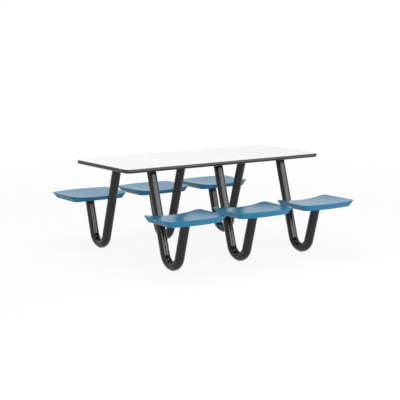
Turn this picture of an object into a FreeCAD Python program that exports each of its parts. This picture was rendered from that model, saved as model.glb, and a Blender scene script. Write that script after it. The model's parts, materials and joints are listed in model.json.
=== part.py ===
import FreeCAD, Part
import math
import os

from FreeCAD import Vector

# Cafeteria table with six fixed seats, in millimetres.
# X runs along the top, +Y to the far long side, +Z up; the origin is on the floor under the middle.
# Three leg stations carry two bent tubes each. Every tube drops from the top to the floor, turns
# in one bend and rises again to a seat, so one tube holds the top and the seat beside it.

# ---- overall ----
table_length = 1829.0
table_width = 762.0
table_height = 757.0
station_spacing = 617.0

# ---- top: laminate on a board, a backing sheet below, a moulding round the edge ----
laminate_thickness = 1.2
backer_thickness = 1.0
top_thickness = 28.0
top_corner_radius = 40.0
moulding_wall = 1.5
moulding_crown = 4.5
spine_depth = 12.0
spine_thickness = 2.4
spine_clearance = 0.15

# ---- bent leg tube ----
tube_diameter = 71.0
tube_wall = 3.0
bend_radius = 101.3
foot_reach = 145.0
table_lean_deg = 16.9
seat_lean_deg = 15.8

# ---- floor glide ----
glide_standout = 0.8
glide_diameter = 22.0
glide_rise = 3.0
glide_stud_diameter = 9.0
glide_stud_length = 9.0
glide_barb = 1.0
glide_clearance = 0.1

# ---- plates and rails ----
plate_thickness = 6.0
plate_corner_radius = 14.0
table_plate_length = 150.0
table_plate_width = 190.0
seat_plate_length = 200.0
seat_plate_width = 170.0
rail_width = 50.0
rail_height = 19.0
rail_wall = 2.0
weld_gap = 0.3

# ---- screws and threaded inserts ----
screw_diameter = 8.0
screw_head_diameter = 14.0
screw_head_height = 4.5
screw_head_rounding = 2.7
screw_socket_width = 5.0
screw_socket_depth = 2.6
screw_edge_distance = 20.0
hole_clearance = 0.6
thread_clearance = 0.1
insert_wall = 2.0
insert_relief = 1.0
core_insert_length = 18.0
core_screw_grip = 14.0
seat_insert_length = 11.0
seat_screw_grip = 9.5

# ---- seat: rim outline, measured from the middle of its plate ----
seat_base_height = 392.6
seat_rim_rise = 45.4
seat_front_width = 507.0
seat_rear_width = 527.6
seat_front_reach = 203.0
seat_rear_reach = 156.4
seat_front_hollow = 20.5
seat_rear_bulge = 40.8
seat_corner_radius = 40.0

# ---- seat: how far the foot of its wall lies inside the rim ----
base_front_side_inset = 29.0
base_rear_side_inset = 35.2
base_front_inset = 16.8
base_rear_inset = 10.4
base_front_hollow = 5.2
base_rear_bulge = 22.5

# ---- seat: heights of the upper surface above the foot of its wall ----
front_middle_rise = 27.5
centre_rise = 33.6
rear_middle_rise = 43.7
front_corner_rise = 50.8
side_middle_rise = 46.5
rear_corner_rise = 46.8

# ---- seat: shell, ribs and bosses ----
seat_rim_rounding = 2.5
seat_foot_rounding = 1.5
seat_wall = 4.5
seat_roof = 5.0
seat_plate_recess = 8.0
plate_pocket_clearance = 1.0
rib_thickness = 3.0
rib_recess = 5.0
boss_wall = 4.5

# ---- worked out from the sizes above ----
SIDES = {"near": -1, "far": 1}
STATIONS = {"left": -1, "middle": 0, "right": 1}

tube_radius = tube_diameter / 2
foot_offset = table_width / 2 + foot_reach
bend_height = glide_standout + tube_radius + bend_radius
table_lean = math.radians(table_lean_deg)
seat_lean = math.radians(seat_lean_deg)

laminate_bottom = table_height - laminate_thickness
backer_top = table_height - top_thickness + backer_thickness
top_underside = table_height - top_thickness
table_plate_bottom = top_underside - plate_thickness
seat_plate_bottom = seat_base_height + seat_plate_recess
seat_plate_top = seat_plate_bottom + plate_thickness

core_length = table_length - 2 * (moulding_wall + moulding_crown)
core_width = table_width - 2 * (moulding_wall + moulding_crown)
core_corner_radius = top_corner_radius - moulding_wall - moulding_crown

table_tangent = Vector(
    0,
    foot_offset - bend_radius * math.cos(table_lean),
    bend_height - bend_radius * math.sin(table_lean),
)
seat_tangent = Vector(
    0,
    foot_offset + bend_radius * math.cos(seat_lean),
    bend_height - bend_radius * math.sin(seat_lean),
)
table_plate_offset = table_tangent.y - (table_plate_bottom - table_tangent.z) * math.tan(table_lean)
seat_plate_offset = seat_tangent.y + (seat_plate_bottom - seat_tangent.z) * math.tan(seat_lean)

table_screw_across = table_plate_length / 2 - screw_edge_distance
table_screw_along = table_plate_width / 2 - screw_edge_distance
seat_screw_across = seat_plate_length / 2 - screw_edge_distance
seat_screw_along = seat_plate_width / 2 - screw_edge_distance

thread_radius = screw_diameter / 2
insert_radius = thread_radius + insert_wall
glide_stud_radius = glide_stud_diameter / 2


def rounded_block(length, width, height, radius, bottom):
    """A block centred on the Z axis with its four upright edges rounded."""
    block = Part.makeBox(length, width, height, Vector(-length / 2, -width / 2, bottom))
    upright = [edge for edge in block.Edges if edge.BoundBox.ZLength > height / 2]
    return block.makeFillet(radius, upright)


def rounded_rectangle(length, width, radius, height):
    """A closed flat wire of lines and corner arcs that starts in the middle of the -Y side."""
    x, y = length / 2, width / 2
    edges = [Part.makeLine(Vector(0, -y, height), Vector(x - radius, -y, height))]
    corners = [(1, -1, -90), (1, 1, 0), (-1, 1, 90), (-1, -1, 180)]
    for index, (side_x, side_y, start) in enumerate(corners):
        centre = Vector(side_x * (x - radius), side_y * (y - radius), height)
        edges.append(Part.makeCircle(radius, centre, Vector(0, 0, 1), start, start + 90))
        begin = edges[-1].valueAt(edges[-1].LastParameter)
        if index == 3:
            end = Vector(0, -y, height)
        else:
            next_x, next_y, turn = corners[index + 1]
            angle = math.radians(turn)
            end = Vector(
                next_x * (x - radius) + radius * math.cos(angle),
                next_y * (y - radius) + radius * math.sin(angle),
                height,
            )
        edges.append(Part.makeLine(begin, end))
    return Part.Wire(edges)


def cylinder(radius, height, base, direction=Vector(0, 0, 1)):
    return Part.makeCylinder(radius, height, base, direction)


def grid(across, along):
    """The four corners of a screw pattern about its middle."""
    return [Vector(x, y, 0) for x in (-across, across) for y in (-along, along)]


def placed(shape, station, side):
    """A copy of a far-side, middle-station shape moved to its own side and station."""
    copy = shape.copy()
    if SIDES[side] < 0:
        copy = copy.mirror(Vector(0, 0, 0), Vector(0, 1, 0))
    copy.translate(Vector(STATIONS[station] * station_spacing, 0, 0))
    return copy


def group(shape):
    """The same shape at all six places, as one node of separate solids."""
    return Part.makeCompound([placed(shape, station, side) for side in SIDES for station in STATIONS])


def export(shape, node):
    shape.exportStep(os.path.join("parts", node + ".step"))


# ---- top ----

def make_moulding():
    """The black edge strip: a crowned face, flush above and below, and a spine in the board."""
    middle = table_height - top_thickness / 2
    inner = -core_width / 2
    low = Vector(0, inner, top_underside)
    low_lip = Vector(0, inner - moulding_wall, top_underside)
    crown = Vector(0, inner - moulding_wall - moulding_crown, middle)
    high_lip = Vector(0, inner - moulding_wall, table_height)
    high = Vector(0, inner, table_height)
    face = Part.Arc(low_lip, crown, high_lip).toShape()
    profile = Part.Wire([
        Part.makeLine(low, low_lip),
        face,
        Part.makeLine(high_lip, high),
        Part.makeLine(high, low),
    ])
    path = rounded_rectangle(core_length, core_width, core_corner_radius, middle)
    strip = path.makePipeShell([profile], True, False)
    spine = make_spine(spine_thickness, spine_depth)
    return strip.fuse(spine).removeSplitter()


def make_spine(thickness, depth):
    """A flat ring round the inside of the moulding, half way up the board."""
    bottom = table_height - top_thickness / 2 - thickness / 2
    outer = rounded_block(core_length, core_width, thickness, core_corner_radius, bottom)
    inner = rounded_block(
        core_length - 2 * depth,
        core_width - 2 * depth,
        thickness,
        core_corner_radius - depth,
        bottom,
    )
    return outer.cut(inner)


def sheet(bottom, top):
    """One layer of the top, with the core's outline."""
    return rounded_block(core_length, core_width, top - bottom, core_corner_radius, bottom)


def table_screw_points(height):
    """Where the screws of all six table plates stand, at one height."""
    points = []
    for side in SIDES:
        for station in STATIONS:
            middle = Vector(
                STATIONS[station] * station_spacing,
                SIDES[side] * table_plate_offset,
                height,
            )
            points += [middle + corner for corner in grid(table_screw_across, table_screw_along)]
    return points


def make_core():
    """The board, grooved for the moulding's spine and bored for the threaded inserts."""
    board = sheet(backer_top, laminate_bottom)
    groove = make_spine(spine_thickness + 2 * spine_clearance, spine_depth + spine_clearance)
    depth = core_insert_length + insert_relief
    bores = [cylinder(insert_radius, depth, point) for point in table_screw_points(backer_top)]
    return board.cut(groove).cut(Part.makeCompound(bores))


def make_backer():
    """The sheet under the board, open where the screws pass."""
    layer = sheet(top_underside, backer_top)
    radius = thread_radius + hole_clearance
    holes = [cylinder(radius, backer_thickness, point) for point in table_screw_points(top_underside)]
    return layer.cut(Part.makeCompound(holes))


# ---- legs ----

def leg_path():
    """The tube's centre line on the far side: down from the top, round the bend, up to the seat."""
    overshoot = tube_diameter
    table_direction = Vector(0, -math.sin(table_lean), math.cos(table_lean))
    seat_direction = Vector(0, math.sin(seat_lean), math.cos(seat_lean))
    table_run = (table_plate_bottom - table_tangent.z) / math.cos(table_lean) + overshoot
    seat_run = (seat_plate_bottom - seat_tangent.z) / math.cos(seat_lean) + overshoot
    table_end = table_tangent + table_direction * table_run
    seat_end = seat_tangent + seat_direction * seat_run
    lowest = Vector(0, foot_offset, bend_height - bend_radius)
    bend = Part.Arc(table_tangent, lowest, seat_tangent).toShape()
    return table_end, table_direction, Part.Wire([
        Part.makeLine(table_end, table_tangent),
        bend,
        Part.makeLine(seat_tangent, seat_end),
    ])


def bent_rod(radius):
    """A solid rod along the leg's centre line, longer than the leg at both ends."""
    start, direction, path = leg_path()
    section = Part.Wire(Part.makeCircle(radius, start, direction))
    return path.makePipeShell([section], True, False)


def trimmed(rod):
    """The rod cut level under the table plate and under the seat plate."""
    reach = 2 * table_width
    half = seat_plate_offset - table_plate_offset
    between = table_plate_offset + half / 2
    table_part = Part.makeBox(
        reach, reach, table_plate_bottom, Vector(-reach / 2, between - reach, 0)
    )
    seat_part = Part.makeBox(reach, reach, seat_plate_bottom, Vector(-reach / 2, between, 0))
    return rod.common(table_part.fuse(seat_part))


def make_leg():
    """The bent tube with a hole in its lowest wall for the glide's stud."""
    tube = trimmed(bent_rod(tube_radius).cut(bent_rod(tube_radius - tube_wall)))
    hole = cylinder(
        glide_stud_radius + glide_clearance,
        tube_wall * 3,
        Vector(0, foot_offset, -glide_standout),
    )
    return tube.cut(hole)


def make_glide():
    """A nylon glide: a flat sole shaped to the bend, a stud through the wall and a barb."""
    foot = Vector(0, foot_offset, 0)
    sole = cylinder(glide_diameter / 2, glide_standout + glide_rise, foot)
    sole = sole.cut(bent_rod(tube_radius))
    stud = cylinder(glide_stud_radius, glide_stud_length, foot)
    barb_bottom = glide_standout + tube_wall + glide_clearance
    barb = Part.makeCone(
        glide_stud_radius + glide_barb,
        glide_stud_radius - glide_barb,
        glide_stud_length - barb_bottom,
        foot + Vector(0, 0, barb_bottom + glide_clearance),
    )
    return sole.fuse(stud).fuse(barb).removeSplitter()


# ---- plates, rails, screws and inserts ----

def make_plate(length, width, across, along, offset, bottom):
    """A rounded steel plate with four screw holes."""
    plate = rounded_block(length, width, plate_thickness, plate_corner_radius, bottom)
    radius = thread_radius + hole_clearance
    for corner in grid(across, along):
        plate = plate.cut(cylinder(radius, plate_thickness, corner + Vector(0, 0, bottom)))
    plate.translate(Vector(0, offset, 0))
    return plate


def make_rail():
    """The box rail under the plates that joins the two tubes of one station."""
    bottom = table_plate_bottom - rail_height
    length = 2 * table_plate_offset
    outer = Part.makeBox(
        rail_width, length, rail_height, Vector(-rail_width / 2, -length / 2, bottom)
    )
    inner = Part.makeBox(
        rail_width - 2 * rail_wall,
        length,
        rail_height - 2 * rail_wall,
        Vector(-rail_width / 2 + rail_wall, -length / 2, bottom + rail_wall),
    )
    rod = bent_rod(tube_radius + weld_gap)
    far_end = rod.mirror(Vector(0, 0, 0), Vector(0, 1, 0))
    pieces = outer.cut(inner).cut(rod).cut(far_end)
    return max(pieces.Solids, key=lambda solid: solid.Volume)


def make_screw(grip, base):
    """A button-head screw pointing up, its head's flat face at the base point."""
    length = plate_thickness + grip
    shank = cylinder(thread_radius - thread_clearance, length, base)
    head = cylinder(screw_head_diameter / 2, screw_head_height, base - Vector(0, 0, screw_head_height))
    crown = [edge for edge in head.Edges if edge.BoundBox.ZMax < base.z - screw_head_height / 2]
    head = head.makeFillet(screw_head_rounding, crown)
    corner_radius = screw_socket_width / math.sqrt(3)
    corners = []
    for index in range(7):
        angle = math.radians(60 * index)
        corners.append(base + Vector(
            corner_radius * math.cos(angle),
            corner_radius * math.sin(angle),
            -screw_head_height,
        ))
    socket = Part.Face(Part.makePolygon(corners)).extrude(Vector(0, 0, screw_socket_depth))
    return shank.fuse(head).removeSplitter().cut(socket)


def make_insert(length, base):
    """A plain threaded bush, its open end at the base point."""
    return cylinder(insert_radius, length, base).cut(cylinder(thread_radius, length, base))


def screw_set(across, along, offset, plate_bottom, grip):
    middle = Vector(0, offset, plate_bottom)
    return Part.makeCompound([make_screw(grip, middle + corner) for corner in grid(across, along)])


def insert_set(across, along, offset, bottom, length):
    middle = Vector(0, offset, bottom)
    return Part.makeCompound([make_insert(length, middle + corner) for corner in grid(across, along)])


# ---- seat, drawn about the middle of its plate ----

def seat_outline(rise, inset):
    """The seat's outline at a height above the foot of its wall, moved inwards by an inset."""
    share = rise / seat_rim_rise

    def between(foot, rim):
        return foot + (rim - foot) * share

    front_half = between(seat_front_width / 2 - base_front_side_inset, seat_front_width / 2)
    rear_half = between(seat_rear_width / 2 - base_rear_side_inset, seat_rear_width / 2)
    front = between(-seat_front_reach + base_front_inset, -seat_front_reach) + inset
    rear = between(seat_rear_reach - base_rear_inset, seat_rear_reach) - inset
    hollow = between(base_front_hollow, seat_front_hollow)
    bulge = between(base_rear_bulge, seat_rear_bulge)
    height = seat_base_height + rise
    front_left = Vector(-front_half + inset, front, height)
    front_right = Vector(front_half - inset, front, height)
    rear_right = Vector(rear_half - inset, rear, height)
    rear_left = Vector(-rear_half + inset, rear, height)
    return Part.Wire([
        Part.Arc(front_left, Vector(0, front + hollow, height), front_right).toShape(),
        Part.makeLine(front_right, rear_right),
        Part.Arc(rear_right, Vector(0, rear + bulge, height), rear_left).toShape(),
        Part.makeLine(rear_left, front_left),
    ])


def through_three(position, front, middle, rear):
    """The value at a position from -1 to 1 on the parabola through three heights."""
    return (
        front * position * (position - 1) / 2
        + middle * (1 - position * position)
        + rear * position * (position + 1) / 2
    )


def seat_surface(drop):
    """The saddle: level from side to side at the rear, dipping in the middle of the front."""
    count = 9
    overrun = 1.3
    half_width = (seat_front_width + seat_rear_width) / 4
    half_depth = (seat_front_reach + seat_rear_reach) / 2
    middle = (seat_rear_reach - seat_front_reach) / 2
    rows = []
    for row in range(count):
        along = overrun * (2 * row / (count - 1) - 1)
        centre_line = through_three(along, front_middle_rise, centre_rise, rear_middle_rise)
        edge_line = through_three(along, front_corner_rise, side_middle_rise, rear_corner_rise)
        points = []
        for column in range(count):
            across = overrun * (2 * column / (count - 1) - 1)
            rise = centre_line + (edge_line - centre_line) * across * across
            points.append(Vector(
                half_width * across,
                middle + half_depth * along,
                seat_base_height + rise - drop,
            ))
        rows.append(points)
    surface = Part.BSplineSurface()
    surface.interpolate(rows)
    return surface.toShape()


def seat_body(inset, drop, foot):
    """A drafted block under the saddle; the insets make the hollow of the shell."""
    above = seat_rim_rise * 1.5
    block = Part.makeLoft([seat_outline(foot, inset), seat_outline(above, inset)], True, True)
    corners = [edge for edge in block.Edges if edge.BoundBox.ZLength > seat_rim_rise]
    block = block.makeFillet(seat_corner_radius - inset, corners)
    under = seat_surface(drop).extrude(Vector(0, 0, -4 * seat_rim_rise))
    return block.common(under).Solids[0]


def largest_upward_face(solid):
    upward = [face for face in solid.Faces if face.normalAt(*middle_of(face)).z > 0.8]
    return max(upward, key=lambda face: face.Area)


def middle_of(face):
    low_u, high_u, low_v, high_v = face.ParameterRange
    return (low_u + high_u) / 2, (low_v + high_v) / 2


def seat_ribs(hollow):
    """Crossed stiffening ribs: they hang from the roof, pass the bosses and clear the plate."""
    low = seat_base_height + rib_recess
    tall = 2 * seat_rim_rise
    reach = 2 * seat_rear_width
    blades = []
    for step in (-2, -1, 0, 1, 2):
        x = step * seat_screw_across - rib_thickness / 2
        blades.append(Part.makeBox(rib_thickness, reach, tall, Vector(x, -reach / 2, low)))
        y = step * seat_screw_along - rib_thickness / 2
        blades.append(Part.makeBox(reach, rib_thickness, tall, Vector(-reach / 2, y, low)))
    ribs = blades[0].fuse(blades[1:]).common(hollow)
    pocket = rounded_block(
        seat_plate_length + 2 * plate_pocket_clearance,
        seat_plate_width + 2 * plate_pocket_clearance,
        2 * seat_plate_recess + plate_thickness,
        plate_corner_radius + plate_pocket_clearance,
        seat_plate_top - 2 * seat_plate_recess - plate_thickness,
    )
    return ribs.cut(pocket)


def make_seat():
    """The moulded seat: saddle roof, drafted wall, ribs below and four bosses for the inserts."""
    solid = seat_body(0, 0, 0)
    solid = solid.makeFillet(seat_rim_rounding, largest_upward_face(solid).Edges)
    foot_edges = [edge for edge in solid.Edges if edge.BoundBox.ZMax < seat_base_height + 0.1]
    solid = solid.makeFillet(seat_foot_rounding, foot_edges)
    hollow = seat_body(seat_wall, seat_roof, -seat_foot_rounding)
    boss_radius = insert_radius + boss_wall
    corners = grid(seat_screw_across, seat_screw_along)
    bosses = [
        cylinder(boss_radius, seat_rim_rise, corner + Vector(0, 0, seat_plate_top)) for corner in corners
    ]
    inner = seat_ribs(hollow).fuse([boss.common(hollow) for boss in bosses])
    shell = solid.cut(hollow).fuse(inner)
    bore = seat_insert_length + insert_relief
    for corner in corners:
        shell = shell.cut(cylinder(insert_radius, bore, corner + Vector(0, 0, seat_plate_top)))
    shell.translate(Vector(0, seat_plate_offset, 0))
    return shell.removeSplitter()


os.makedirs("parts", exist_ok=True)

export(sheet(laminate_bottom, table_height), "top_laminate")
export(make_core(), "top_core")
export(make_backer(), "top_backer")
export(make_moulding(), "edge_moulding")

leg = make_leg()
glide = make_glide()
seat = make_seat()
table_plate = make_plate(
    table_plate_length,
    table_plate_width,
    table_screw_across,
    table_screw_along,
    table_plate_offset,
    table_plate_bottom,
)
seat_plate = make_plate(
    seat_plate_length,
    seat_plate_width,
    seat_screw_across,
    seat_screw_along,
    seat_plate_offset,
    seat_plate_bottom,
)
pieces = {
    "leg_tube": leg,
    "floor_glide": glide,
    "table_plate": table_plate,
    "seat_plate": seat_plate,
    "seat_shell": seat,
}
for name, piece in pieces.items():
    for side in SIDES:
        for station in STATIONS:
            export(placed(piece, station, side), f"{name}_{side}_{station}")

rail = make_rail()
for station in STATIONS:
    export(placed(rail, station, "far"), f"cross_rail_{station}")

top_screws = screw_set(
    table_screw_across, table_screw_along, table_plate_offset, table_plate_bottom,
    backer_thickness + core_screw_grip,
)
seat_screws = screw_set(
    seat_screw_across, seat_screw_along, seat_plate_offset, seat_plate_bottom, seat_screw_grip
)
core_inserts = insert_set(
    table_screw_across, table_screw_along, table_plate_offset, backer_top, core_insert_length
)
seat_inserts = insert_set(
    seat_screw_across, seat_screw_along, seat_plate_offset, seat_plate_top, seat_insert_length
)
export(group(top_screws), "top_screws")
export(group(seat_screws), "seat_screws")
export(group(core_inserts), "core_inserts")
export(group(seat_inserts), "seat_inserts")

print(f"table plates at {table_plate_offset:.1f}, seat plates at {seat_plate_offset:.1f}")
for name, piece in pieces.items():
    print(f"{name}: {piece.Volume / 1000:.1f} cm3, {len(piece.Solids)} solid, valid {piece.isValid()}")
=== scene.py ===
"""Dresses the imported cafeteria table: top, bent legs, moulded seats, fixings, and the studio round it."""

from __future__ import annotations

import json
import logging
import math
from dataclasses import dataclass, replace
from enum import Enum
from typing import Any, Callable, Iterable

import bmesh
import bpy
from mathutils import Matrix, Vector

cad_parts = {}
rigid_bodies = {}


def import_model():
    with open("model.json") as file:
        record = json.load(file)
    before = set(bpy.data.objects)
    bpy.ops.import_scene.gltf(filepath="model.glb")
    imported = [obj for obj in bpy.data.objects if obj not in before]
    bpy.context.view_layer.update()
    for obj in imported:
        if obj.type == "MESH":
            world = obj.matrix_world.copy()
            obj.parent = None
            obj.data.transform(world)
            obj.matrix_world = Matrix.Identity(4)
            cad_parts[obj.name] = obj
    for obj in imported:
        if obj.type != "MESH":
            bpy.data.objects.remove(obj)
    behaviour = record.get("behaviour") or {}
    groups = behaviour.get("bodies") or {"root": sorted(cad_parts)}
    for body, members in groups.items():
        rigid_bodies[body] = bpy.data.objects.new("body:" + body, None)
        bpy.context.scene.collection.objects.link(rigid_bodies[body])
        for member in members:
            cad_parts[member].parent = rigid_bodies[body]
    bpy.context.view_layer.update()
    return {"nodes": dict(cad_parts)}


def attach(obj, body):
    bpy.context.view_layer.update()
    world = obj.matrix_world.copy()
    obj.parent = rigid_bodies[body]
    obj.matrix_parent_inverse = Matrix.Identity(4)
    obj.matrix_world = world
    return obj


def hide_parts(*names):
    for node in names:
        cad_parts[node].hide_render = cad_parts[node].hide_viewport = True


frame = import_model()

logging.basicConfig(level=logging.INFO, format="%(message)s")
LOG = logging.getLogger("cafeteria_table")

Colour = tuple[float, float, float]
Point = tuple[float, float, float]
Socket = bpy.types.NodeSocket
BODY = "root"
DRESSED = "_dressed"  # ends the name of a piece that stands for the CAD node of that name
LEVEL = 0.0001  # how near to a level an edge or a face counts as on it
DOUBLES = 0.000005  # how near two vertices count as one
NODE_DOUBLES = 0.000002  # the same on a CAD node's mesh, which is exact
NODE_FLAT = math.radians(0.4)  # how little two triangles of such a mesh turn and count as one face
UP = (0, 0, 1)


class Side(Enum):
    """The long side of the table that a piece belongs to, with the sign of its Y."""

    NEAR = -1
    FAR = 1


class Station(Enum):
    """One of the three places along the top that carry a pair of legs, with the sign of its X."""

    LEFT = -1
    MIDDLE = 0
    RIGHT = 1


class Element(Enum):
    """What edit mode selects."""

    VERTEX = "VERT"
    EDGE = "EDGE"
    FACE = "FACE"


class Direction(Enum):
    """The way in which vertices are pushed."""

    UPWARD = "Z"
    OUTWARD = "NORMAL"


class Operation(Enum):
    """What a Boolean does with its tool."""

    SUBTRACT = "DIFFERENCE"
    ADD = "UNION"


class Shine(Enum):
    """What shows a lamp's mirror image."""

    EVERYTHING = "everything"
    NOTHING = "nothing"
    COATED_STEEL = "coated steel"


def places() -> list[tuple[Side, Station]]:
    """Returns the six places of a leg and a seat."""
    return [(side, station) for side in Side for station in Station]


def place_name(stem: str, side: Side, station: Station) -> str:
    """Returns a CAD node's name, such as leg_tube_far_left."""
    return f"{stem}_{side.name.lower()}_{station.name.lower()}"


def between(low: float, high: float, share: float) -> float:
    """Returns the value at a share of the way from one value to another."""
    return low + (high - low) * share


# The bench: edit-mode work on one mesh.


class Draft:
    """One mesh on the bench, shaped with Blender's own modelling operators."""

    def __init__(self, piece: bpy.types.Object) -> None:
        """Takes up an object that already holds a mesh."""
        self.piece = piece

    @staticmethod
    def clear() -> None:
        """Leaves edit mode and deselects every object."""
        active = bpy.context.view_layer.objects.active
        if active is not None and active.mode != "OBJECT":
            bpy.ops.object.mode_set(mode="OBJECT")
        bpy.ops.object.select_all(action="DESELECT")

    @classmethod
    def primitive(cls, name: str, add: Callable[..., Any], **settings: Any) -> Draft:
        """Adds a primitive with its place in its mesh.

        Args:
            name: the piece's name.
            add: the operator that adds the primitive.
            settings: that operator's settings.

        Returns:
            The draft of the new piece, in object mode.
        """
        cls.clear()
        add(**settings)
        piece = bpy.context.object
        piece.name = name
        piece.data.name = name
        bpy.ops.object.transform_apply(location=True, rotation=True, scale=True)
        return cls(piece)

    @classmethod
    def drum(cls, name: str, facets: int, radius: float, height: float, middle: Point) -> Draft:
        """Adds an upright drum.

        Args:
            name: the piece's name.
            facets: how many sides it has.
            radius: its radius over the corners.
            height: its height.
            middle: where its middle stands.

        Returns:
            The draft of the drum, in object mode.
        """
        add = bpy.ops.mesh.primitive_cylinder_add
        return cls.primitive(name, add, vertices=facets, radius=radius, depth=height, location=middle)

    @classmethod
    def point(cls, name: str, place: Point) -> Draft:
        """Starts a piece as one vertex.

        Args:
            name: the piece's name.
            place: where the vertex stands.

        Returns:
            The draft, in edit mode, with its vertex selected.
        """
        draft = cls.primitive(name, bpy.ops.mesh.primitive_plane_add, size=0.01, location=place)
        draft.edit()
        bpy.ops.mesh.merge(type="CENTER")
        return draft

    @classmethod
    def from_node(cls, node: str) -> Draft:
        """Copies a CAD node's mesh, merges its loose triangles and clears the flat ones.

        Args:
            node: the CAD node's name.

        Returns:
            The draft of the copy, in object mode.
        """
        cls.clear()
        piece = bpy.data.objects.new(node + DRESSED, frame["nodes"][node].data.copy())
        bpy.context.scene.collection.objects.link(piece)
        piece.data.materials.clear()
        draft = cls(piece)
        if piece.data.has_custom_normals:
            draft.done()
            bpy.ops.mesh.customdata_custom_splitnormals_clear()
        draft.edit()
        bpy.ops.mesh.remove_doubles(threshold=NODE_DOUBLES)
        bpy.ops.mesh.dissolve_limited(angle_limit=NODE_FLAT)
        draft.done()
        return draft

    def done(self) -> None:
        """Closes edit mode and leaves this piece, and only this one, selected and active."""
        self.clear()
        self.piece.select_set(True)
        bpy.context.view_layer.objects.active = self.piece

    def edit(self) -> None:
        """Opens this mesh, and only this one, in edit mode, with all of it selected."""
        self.done()
        bpy.ops.object.mode_set(mode="EDIT")
        bpy.ops.mesh.select_mode(type=Element.VERTEX.value)
        self.all()

    def all(self) -> None:
        """Selects the whole mesh."""
        bpy.ops.mesh.select_all(action="SELECT")

    def choose(self, kind: Element, test: Callable[[Any, Vector], bool]) -> int:
        """Selects the edges or faces that pass a test, and nothing else.

        Args:
            kind: edges or faces.
            test: says whether an edge or a face is wanted, given it and its middle.

        Returns:
            How many were selected.
        """
        bpy.ops.mesh.select_mode(type=kind.value)
        bpy.ops.mesh.select_all(action="DESELECT")
        mesh = bmesh.from_edit_mesh(self.piece.data)
        count = 0
        for item in mesh.edges if kind is Element.EDGE else mesh.faces:
            middle = sum((corner.co for corner in item.verts), Vector()) / len(item.verts)
            if test(item, middle):
                item.select_set(True)
                count += 1
        mesh.select_flush_mode()
        bmesh.update_edit_mesh(self.piece.data, loop_triangles=False, destructive=False)
        return count

    def choose_border(self) -> int:
        """Selects the open edges, and returns how many there are."""
        return self.choose(Element.EDGE, lambda edge, middle: edge.is_boundary or edge.is_wire)

    def move(self, by: Point) -> None:
        """Moves the selection."""
        bpy.ops.transform.translate(value=by)

    def scale(self, factors: Point, about: Point) -> None:
        """Scales the selection about a point."""
        bpy.ops.transform.resize(value=factors, center_override=about)

    def extrude(self, by: Point) -> None:
        """Extrudes the selection, and leaves its far end selected."""
        bpy.ops.mesh.extrude_region_move(TRANSFORM_OT_translate={"value": by})

    def spin(self, centre: Point, axis: Point, angle: float, steps: int) -> None:
        """Turns the selection round an axis through a centre as it extrudes, by the right-hand rule."""
        bpy.ops.mesh.spin(steps=steps, angle=-angle, center=centre, axis=axis)

    def bridge(self, cuts: int = 0) -> None:
        """Joins two selected loops with faces."""
        bpy.ops.mesh.bridge_edge_loops(number_cuts=cuts, interpolation="LINEAR")

    def fill(self) -> None:
        """Closes the selected loop with a face."""
        bpy.ops.mesh.edge_face_add()

    def round_edges(self, width: float, steps: int) -> None:
        """Rounds the selected edges."""
        bpy.ops.mesh.bevel(offset=width, segments=steps, affect="EDGES")

    def cut(self, level: float) -> None:
        """Cuts the selection level and drops what lies above."""
        bpy.ops.mesh.bisect(plane_co=(0, 0, level), plane_no=UP, clear_outer=True)

    def merge(self) -> None:
        """Merges the doubles of the whole mesh, and leaves it selected."""
        self.all()
        bpy.ops.mesh.remove_doubles(threshold=DOUBLES)

    def outward(self) -> None:
        """Points every face outwards."""
        self.all()
        bpy.ops.mesh.normals_make_consistent(inside=False)

    def modify(self, kind: str, **settings: Any) -> None:
        """Adds a modifier, sets it and applies it.

        Args:
            kind: the modifier's type.
            settings: its settings.
        """
        self.done()
        bpy.ops.object.modifier_add(type=kind)
        modifier = self.piece.modifiers[-1]
        for key, value in settings.items():
            setattr(modifier, key, value)
        bpy.ops.object.modifier_apply(modifier=modifier.name)

    def push(self, way: Direction, reach: float, share: Callable[[Vector], float]) -> None:
        """Pushes each vertex by its own share of a reach.

        Args:
            way: the way in which they go.
            reach: how far a whole share is.
            share: the share at a place, from 0 to 1.
        """
        self.done()
        group = self.piece.vertex_groups.new(name="push")
        for vertex in self.piece.data.vertices:
            group.add([vertex.index], min(1.0, max(0.0, share(vertex.co))), "REPLACE")
        self.modify("DISPLACE", direction=way.value, strength=reach, mid_level=0.0, vertex_group="push")
        self.piece.vertex_groups.clear()

    def carve(self, tool: Draft, operation: Operation = Operation.SUBTRACT) -> Draft:
        """Cuts another piece out of this one, or adds it, and deletes the tool.

        Args:
            tool: the other draft.
            operation: whether it is cut out or added.

        Returns:
            The same draft.
        """
        self.modify("BOOLEAN", object=tool.piece, operation=operation.value, solver="EXACT")
        tool.drop()
        return self

    def join(self, others: Iterable[Draft]) -> Draft:
        """Joins other drafts into this one.

        Args:
            others: the other drafts.

        Returns:
            The same draft.
        """
        self.done()
        for other in others:
            other.piece.select_set(True)
        bpy.ops.object.join()
        return self

    def copy(self, name: str) -> Draft:
        """Copies the piece, with a mesh of its own.

        Args:
            name: the copy's name.

        Returns:
            The draft of the copy.
        """
        self.clear()
        piece = self.piece.copy()
        piece.data = self.piece.data.copy()
        piece.name = name
        piece.data.name = name
        bpy.context.scene.collection.objects.link(piece)
        return Draft(piece)

    def place(self, side: Side, station: Station, spacing: float) -> Draft:
        """Moves a far-side, middle-station piece to its own side and station.

        Args:
            side: near or far.
            station: left, middle or right.
            spacing: the distance between stations.

        Returns:
            The same draft, its object still at the origin.
        """
        self.edit()
        if side is Side.NEAR:
            self.scale((1, -1, 1), (0, 0, 0))
            bpy.ops.mesh.flip_normals()
        self.move((station.value * spacing, 0, 0))
        self.done()
        return self

    def drop(self) -> None:
        """Deletes the piece."""
        bpy.data.objects.remove(self.piece)

    def smooth(self, degrees: float) -> None:
        """Shades smooth across edges flatter than an angle."""
        self.done()
        bpy.ops.object.shade_smooth_by_angle(angle=math.radians(degrees))

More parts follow.
